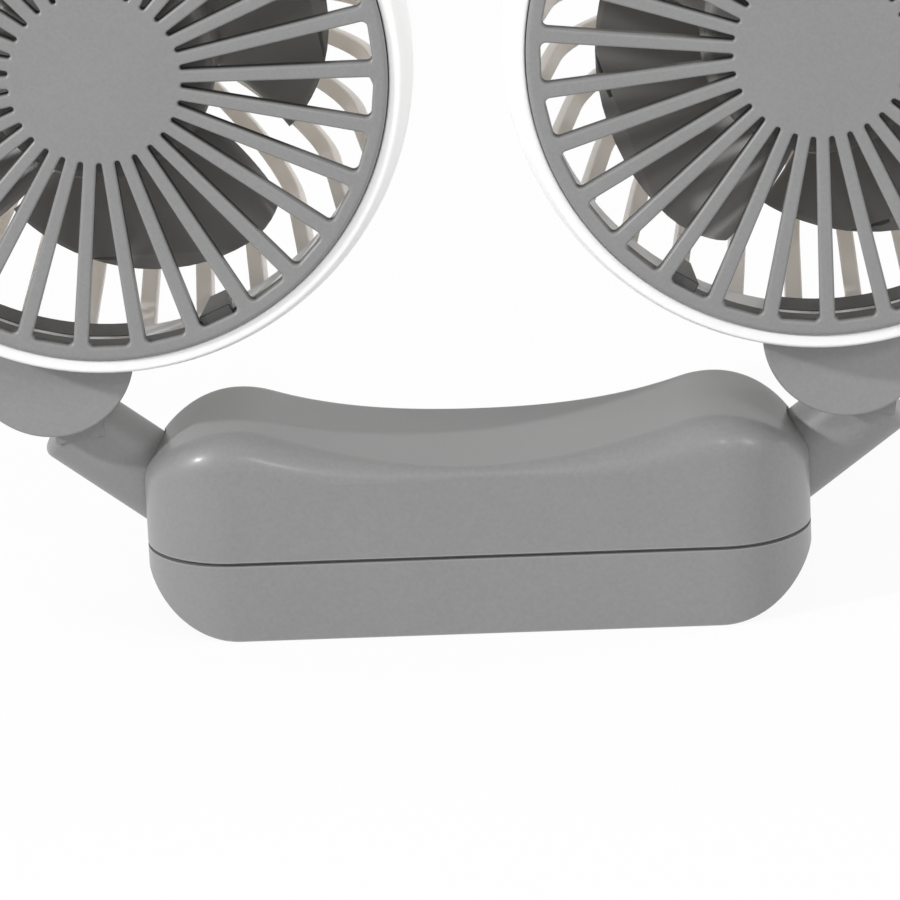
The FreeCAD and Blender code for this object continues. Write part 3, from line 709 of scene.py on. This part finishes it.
def turned(name, profile):
    shape = bmesh.new()
    corners = [shape.verts.new((radius, depth, 0.0)) for radius, depth in profile]
    lines = [shape.edges.new((corners[i - 1], corners[i])) for i in range(len(corners))]
    bmesh.ops.spin(shape, geom=corners + lines, cent=(0, 0, 0), axis=(0, 1, 0),
                   angle=2.0 * math.pi, steps=AROUND, use_merge=True, use_duplicate=False)
    return from_bmesh(name, shape)


def arc(centre, radius, start, end, steps):
    points = []
    for i in range(steps + 1):
        angle = math.radians(start + (end - start) * i / steps)
        points.append((centre[0] + radius * math.cos(angle), centre[1] + radius * math.sin(angle)))
    return points


def finished_piece(name, meshes, dressing, place):
    whole = bmesh.new()
    for mesh in meshes:
        whole.from_mesh(mesh)
    bmesh.ops.translate(whole, verts=whole.verts, vec=place)
    body = bpy.data.meshes.new(name)
    whole.to_mesh(body)
    whole.free()
    body.materials.clear()
    body.materials.append(dressing)
    for face in body.polygons:
        face.material_index = 0
    body.shade_smooth()
    body.set_sharp_from_angle(angle=SHARP_FROM)
    piece = bpy.data.objects.new(name, body)
    bpy.context.scene.collection.objects.link(piece)
    level = piece.modifiers.new("even_normals", "WEIGHTED_NORMAL")
    level.keep_sharp = True
    print(name, len(body.polygons), "faces")
    return piece


print("turned forms have", AROUND, "steps round")

# %% [markdown]
# Front grilles
#
# The grille is a flat moulded plate with thirty slots that widen outwards, a plain round middle, and a
# short skirt that drops into the ring. One could cut slots from a disc, but cuts leave thin, ragged
# triangles along the rounded spokes. One sector round a single slot is drawn cleanly instead, with
# its rounded edge, and the array welds thirty of them into a plate.

# %% Draw one sector of the grille
SLOTS = 30
GRILLE_RADIUS = 40.7 * MM
GRILLE_PLATE = 2.0 * MM
SLOT_INNER = 12.0 * MM
SLOT_OUTER = 38.6 * MM
SPOKE_INNER = 1.75 * MM
SPOKE_OUTER = 2.3 * MM
SLOT_CORNER = 0.8 * MM
SPOKE_ROUND = 0.4 * MM
RIM_ROUND = 0.7 * MM
SKIRT_DEPTH = 7.0 * MM
SKIRT_WALL = 1.2 * MM
ROUND_STEPS = 4
SECTOR_STEPS = 6
SLOT_END_STEPS = 8
SLOT_CORNER_STEPS = 5


def half_slot(radius, spoke):
    return math.pi * radius / SLOTS - spoke / 2


def slot_outline(grow):
    inner = half_slot(SLOT_INNER, SPOKE_INNER)
    outer = half_slot(SLOT_OUTER, SPOKE_OUTER) - SLOT_CORNER
    corner = SLOT_OUTER - SLOT_CORNER
    points = arc((SLOT_INNER + inner, 0.0), inner + grow, -90.0, -270.0, SLOT_END_STEPS)
    points += arc((corner, outer), SLOT_CORNER + grow, 90.0, 0.0, SLOT_CORNER_STEPS)
    points += arc((corner, -outer), SLOT_CORNER + grow, 0.0, -90.0, SLOT_CORNER_STEPS)
    return points


def rim_arc(radius):
    half = 180.0 / SLOTS
    return arc((0.0, 0.0), radius, -half, half, SECTOR_STEPS)


def quarter_round(size):
    steps = [0.5 * math.pi * i / ROUND_STEPS for i in range(ROUND_STEPS + 1)]
    return [(size * (1.0 - math.sin(t)), size * (1.0 - math.cos(t))) for t in steps]


def bridge(shape, rows, closed):
    for first, second in zip(rows, rows[1:]):
        count = len(first)
        for i in range(count if closed else count - 1):
            j = (i + 1) % count
            shape.faces.new((first[i], first[j], second[j], second[i]))


def row_of(shape, points, depth):
    return [shape.verts.new((x, depth, z)) for x, z in points]


def fill_between(shape, rim, hole, depth):
    middle = shape.verts.new((0.0, depth, 0.0))
    loops = ([middle] + rim, hole)
    edges = []
    for loop in loops:
        for i in range(len(loop)):
            pair = (loop[i - 1], loop[i])
            edges.append(shape.edges.get(pair) or shape.edges.new(pair))
    bmesh.ops.triangle_fill(shape, edges=edges, use_beauty=True, use_dissolve=False)


def grille_sector():
    shape = bmesh.new()
    slot_rows = [row_of(shape, slot_outline(out), depth) for out, depth in quarter_round(SPOKE_ROUND)]
    slot_rows.append(row_of(shape, slot_outline(0.0), GRILLE_PLATE))
    bridge(shape, slot_rows, True)
    rim_rows = []
    for inset, depth in quarter_round(RIM_ROUND):
        rim_rows.append(row_of(shape, rim_arc(GRILLE_RADIUS - inset), depth))
    rim_rows.append(row_of(shape, rim_arc(GRILLE_RADIUS), SKIRT_DEPTH))
    rim_rows.append(row_of(shape, rim_arc(GRILLE_RADIUS - SKIRT_WALL), SKIRT_DEPTH))
    rim_rows.append(row_of(shape, rim_arc(GRILLE_RADIUS - SKIRT_WALL), GRILLE_PLATE))
    bridge(shape, rim_rows, False)
    fill_between(shape, rim_rows[0], slot_rows[0], 0.0)
    fill_between(shape, rim_rows[-1], slot_rows[-1], GRILLE_PLATE)
    return from_bmesh("grille_sector", shape)


print("sector faces", len(grille_sector().polygons))

# %% [markdown]
# Snap tabs
#
# Four tongues behind the grille catch the ring, so that it snaps in without screws. A tongue is one
# outline drawn twice and bridged, narrower towards its end, and the same array sets four of them
# round the plate. The slots and tabs stand at other angles on the two heads.

# %% Draw one snap tab and make the grilles
SLOT_TURN = {"left": 6.0, "right": 0.0}
TAB_ANGLE = {"left": 66.5, "right": 122.0}
TABS = 4
TAB_RADIUS = 37.2 * MM
TAB_DEPTH = 11.4 * MM
TAB_ROOT = 5.0 * MM
TAB_TIP = 3.0 * MM
TAB_LEAN = 0.4 * MM
TAB_BACK_GAP = 0.5 * MM
TAB_HOOK = 0.8 * MM
HOOK_WIDEST = 2.0 * MM
HOOK_STARTS = 2.6 * MM
TAB_EASE = 0.25 * MM


def snap_tab():
    # A tapered tongue with a small hook that catches behind the ledge of the ring
    back = GRILLE_RADIUS - SKIRT_WALL - TAB_BACK_GAP
    root = GRILLE_PLATE / 2
    outline = [(TAB_RADIUS, root), (TAB_RADIUS + TAB_LEAN, TAB_DEPTH), (back - TAB_HOOK, TAB_DEPTH)]
    outline += [(back, TAB_DEPTH - HOOK_WIDEST), (back - TAB_HOOK, TAB_DEPTH - HOOK_STARTS), (back, root)]
    shape = bmesh.new()
    walls = []
    for way in (-1, 1):
        wall = []
        for radius, depth in outline:
            half = (TAB_ROOT + (TAB_TIP - TAB_ROOT) * depth / TAB_DEPTH) / 2
            wall.append(shape.verts.new((radius, depth, way * half)))
        walls.append(wall)
        shape.faces.new(wall)
    bridge(shape, walls, True)
    return eased(from_bmesh("snap_tab", shape), TAB_EASE)


for side in SIDES:
    dressing = FINISHES["grille_grey"]
    plate = repeated(grille_sector(), SLOTS, SLOT_TURN[side], dressing)
    tabs = repeated(snap_tab(), TABS, TAB_ANGLE[side], dressing)
    grille = finished_piece("grille_" + side, (plate, tabs), dressing, head_place(side))
    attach(grille, "head_" + side)
    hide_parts("front_grille_" + side)

# %% [markdown]
# White cages
#
# Behind the grille sits a white ring with a softly swelling outside. A deep bowl of thirty ribs runs
# back from it, nearly straight at the side and round at the corner, to a cup that holds the motor.
# The ring and the cup are round about the axis, so both are turned.

# %% Turn the ring and the cup
RING_RADIUS = 44.0 * MM
RING_FRONT_RADIUS = 42.5 * MM
RING_FRONT = 0.8 * MM
RING_DEPTH = 13.0 * MM
RING_TUCK = 0.5 * MM
RING_GAP = 0.12 * MM
RING_BORE = GRILLE_RADIUS + RING_GAP
RING_STEPS = 8
LEDGE_RADIUS = 39.7 * MM
LEDGE_DEPTH = 5.8 * MM
LEDGE_END = SKIRT_DEPTH + LEDGE_DEPTH
BOWL_START = 14.0 * MM
BOWL_INSET = 1.6 * MM
BOWL_DEPTH = 51.0 * MM
BOWL_WALL = 1.8 * MM
BOWL_TAPER = 9.0
BOWL_CORNER = 18.0 * MM
CORNER_STEPS = 12
WINDOW_START = 15.6 * MM
WINDOW_INNER = 16.8 * MM
MOTOR_BORE = 12.25 * MM
MOTOR_BACK = 29.0 * MM
CUP_RADIUS = 14.2 * MM
CUP_LENGTH = 8.0 * MM
CUP_FLOOR = 2.0 * MM
WELL_RADIUS = 11.8 * MM
LEAD_HOLE = 3.0 * MM
CAGE_EASE = 0.3 * MM


def bowl_side(depth, skin):
    taper = math.radians(BOWL_TAPER)
    radius = RING_RADIUS - BOWL_INSET - skin / math.cos(taper) - (depth - BOWL_START) * math.tan(taper)
    return radius, depth


def bowl_corner(skin):
    # The arc starts square to the tapered side and ends flat at the back
    taper = math.radians(BOWL_TAPER)
    depth = BOWL_DEPTH - BOWL_CORNER
    radius = bowl_side(depth + BOWL_CORNER * math.sin(taper), 0.0)[0] - BOWL_CORNER * math.cos(taper)
    return arc((radius, depth), BOWL_CORNER - skin, BOWL_TAPER, 90.0, CORNER_STEPS)


def swelling_side():
    # Parabola through the front edge, the widest place and the back edge of the ring
    points = []
    for i in range(RING_STEPS + 1):
        t = i / RING_STEPS
        front, widest, back = (1 - t) * (1 - 2 * t), 4 * t * (1 - t), t * (2 * t - 1)
        radius = front * RING_FRONT_RADIUS + widest * RING_RADIUS + back * (RING_RADIUS - RING_TUCK)
        points.append((radius, RING_FRONT + (RING_DEPTH - RING_FRONT) * t))
    return points


def white_ring():
    profile = [(RING_BORE, RING_FRONT)] + swelling_side()
    profile += [bowl_side(BOWL_START, 0.0), bowl_side(WINDOW_START, 0.0)]
    profile += [bowl_side(WINDOW_START, BOWL_WALL), bowl_side(BOWL_START, BOWL_WALL)]
    profile += [(LEDGE_RADIUS, LEDGE_END), (LEDGE_RADIUS, SKIRT_DEPTH), (RING_BORE, SKIRT_DEPTH)]
    return eased(turned("ring", profile), CAGE_EASE)


def motor_cup():
    lip = MOTOR_BACK - CUP_LENGTH
    under = MOTOR_BACK + CUP_FLOOR
    inside = BOWL_DEPTH - BOWL_WALL
    profile = [(WELL_RADIUS, BOWL_DEPTH), (WINDOW_INNER, BOWL_DEPTH), (WINDOW_INNER, inside)]
    profile += [(CUP_RADIUS, inside), (CUP_RADIUS, lip), (MOTOR_BORE, lip), (MOTOR_BORE, MOTOR_BACK)]
    profile += [(LEAD_HOLE, MOTOR_BACK), (LEAD_HOLE, under), (WELL_RADIUS, under)]
    return eased(turned("cup", profile), CAGE_EASE)


print("ring", len(white_ring().polygons), "cup", len(motor_cup().polygons))

# %% [markdown]
# Ribs of the cage
#
# A rib is a bar of even width between the bowl's outer and inner line. The bowl could be turned whole
# and cut by windows, as the CAD model does it, but bars give clean rounded edges. One bar follows the
# two lines, its ends sink into the ring and the cup, and the array repeats it thirty times.

# %% Bend one rib and make the cages
RIB_WIDTH = 2.4 * MM
RIB_SINK = 0.5 * MM
RIB_ANGLE = 0.0


def rib_line(skin):
    start = bowl_side(WINDOW_START - RIB_SINK, skin)
    return [start] + bowl_corner(skin) + [(WINDOW_INNER - RIB_SINK, BOWL_DEPTH - skin)]


def cage_rib():
    shape = bmesh.new()
    rows = []
    for outer, inner in zip(rib_line(0.0), rib_line(BOWL_WALL)):
        corners = ((outer, -1), (outer, 1), (inner, 1), (inner, -1))
        rows.append([shape.verts.new((spot[0], spot[1], way * RIB_WIDTH / 2)) for spot, way in corners])
    bridge(shape, rows, True)
    shape.faces.new(rows[0])
    shape.faces.new(rows[-1])
    return eased(from_bmesh("rib", shape), CAGE_EASE)


for side in SIDES:
    dressing = FINISHES["cage_white"]
    ribs = repeated(cage_rib(), SLOTS, RIB_ANGLE, dressing)
    cage = finished_piece("cage_" + side, (white_ring(), motor_cup(), ribs), dressing, head_place(side))
    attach(cage, "head_" + side)
    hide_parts("rear_cage_" + side)

# %% [markdown]
# Impellers
#
# Each impeller is a dark cup that fits over the motor, with four broad blades. A blade leads with a
# shallow front edge and twists back as it widens to its tip. Its outline at each radius is a thin
# closed strip, so the edges come out rounded, and the array sets four round the hub.

# %% Turn the hub and twist a blade
HUB_RADIUS = 16.5 * MM
HUB_FRONT = 6.6 * MM
HUB_LENGTH = 21.0 * MM
HUB_WALL = 1.5 * MM
HUB_NOSE = 1.8 * MM
NOSE_STEPS = 6
HUB_BOSS = 3.2 * MM
BOSS_END = 14.0 * MM
SHAFT_RADIUS = 1.0 * MM
SHAFT_COVER = 2.2 * MM
BLADES = 4
BLADE_TIP = 33.6 * MM
BLADE_TIP_DROP = 4.3 * MM
BLADE_NOSE = 2.0 * MM
BLADE_NOSE_SHARE = 0.2
BLADE_SINK = 0.9 * MM
BLADE_ROOT = HUB_RADIUS - BLADE_SINK
BLADE_FRONT = 8.0 * MM
BLADE_REAR = 26.5 * MM
BLADE_CAMBER = 1.0 * MM
BLADE_THICKNESS = 1.3 * MM
BLADE_EDGE_RISE = 5.0
BLADE_EDGE_LEAST = 0.15
STEPS_ACROSS = 28
STEPS_ALONG = 14
BLADE_LEAD = 11.5
BLADE_ROOT_SPAN = 80.0
BLADE_TIP_SPAN = 81.0
BLADE_TURN = {"left": 27.5, "right": 104.0}


def hub():
    inner = HUB_RADIUS - HUB_WALL
    floor = HUB_FRONT + HUB_NOSE
    end = HUB_FRONT + HUB_LENGTH
    nose = arc((HUB_RADIUS - HUB_NOSE, floor), HUB_NOSE, -90.0, 0.0, NOSE_STEPS)
    profile = [(0.0, HUB_FRONT)] + nose + [(HUB_RADIUS, end), (inner, end), (inner, floor)]
    profile += [(HUB_BOSS, floor), (HUB_BOSS, BOSS_END), (SHAFT_RADIUS, BOSS_END)]
    profile += [(SHAFT_RADIUS, HUB_FRONT + SHAFT_COVER), (0.0, HUB_FRONT + SHAFT_COVER)]
    return turned("hub", profile)


def blade_spot(across, along, skin):
    # across runs from the front edge to the rear edge, along from the root to the tip
    nose = max(0.0, 1.0 - across / BLADE_NOSE_SHARE)
    tip = BLADE_TIP - BLADE_TIP_DROP * across ** 2 - BLADE_NOSE * nose ** 2
    radius = BLADE_ROOT + along * (tip - BLADE_ROOT)
    span = BLADE_ROOT_SPAN + (BLADE_TIP_SPAN - BLADE_ROOT_SPAN) * along
    angle = math.radians(BLADE_LEAD * along + span * across)
    depth = BLADE_FRONT + (BLADE_REAR - BLADE_FRONT) * across - BLADE_CAMBER * math.sin(math.pi * across)
    rise = BLADE_EDGE_RISE * math.sqrt(max(across * (1.0 - across), 0.0))
    thinned = min(1.0, rise + BLADE_EDGE_LEAST)
    depth += skin * thinned * BLADE_THICKNESS / 2
    return radius * math.cos(angle), depth, -radius * math.sin(angle)


def blade():
    # Steps across crowd towards both edges, where the strip is round
    shape = bmesh.new()
    rows = []
    face = [(0.5 - 0.5 * math.cos(math.pi * i / STEPS_ACROSS), -1) for i in range(STEPS_ACROSS + 1)]
    loop = face + [(across, 1) for across, _ in reversed(face)]
    for j in range(STEPS_ALONG + 1):
        rows.append([shape.verts.new(blade_spot(across, j / STEPS_ALONG, skin)) for across, skin in loop])
    bridge(shape, rows, True)
    shape.faces.new(rows[0])
    shape.faces.new(rows[-1])
    return from_bmesh("blade", shape)


for side in SIDES:
    dressing = FINISHES["blade_grey"]
    fins = repeated(blade(), BLADES, BLADE_TURN[side], dressing)
    impeller = finished_piece("blades_" + side, (hub(), fins), dressing, head_place(side))
    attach(impeller, "impeller_" + side)
    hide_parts("impeller_" + side)
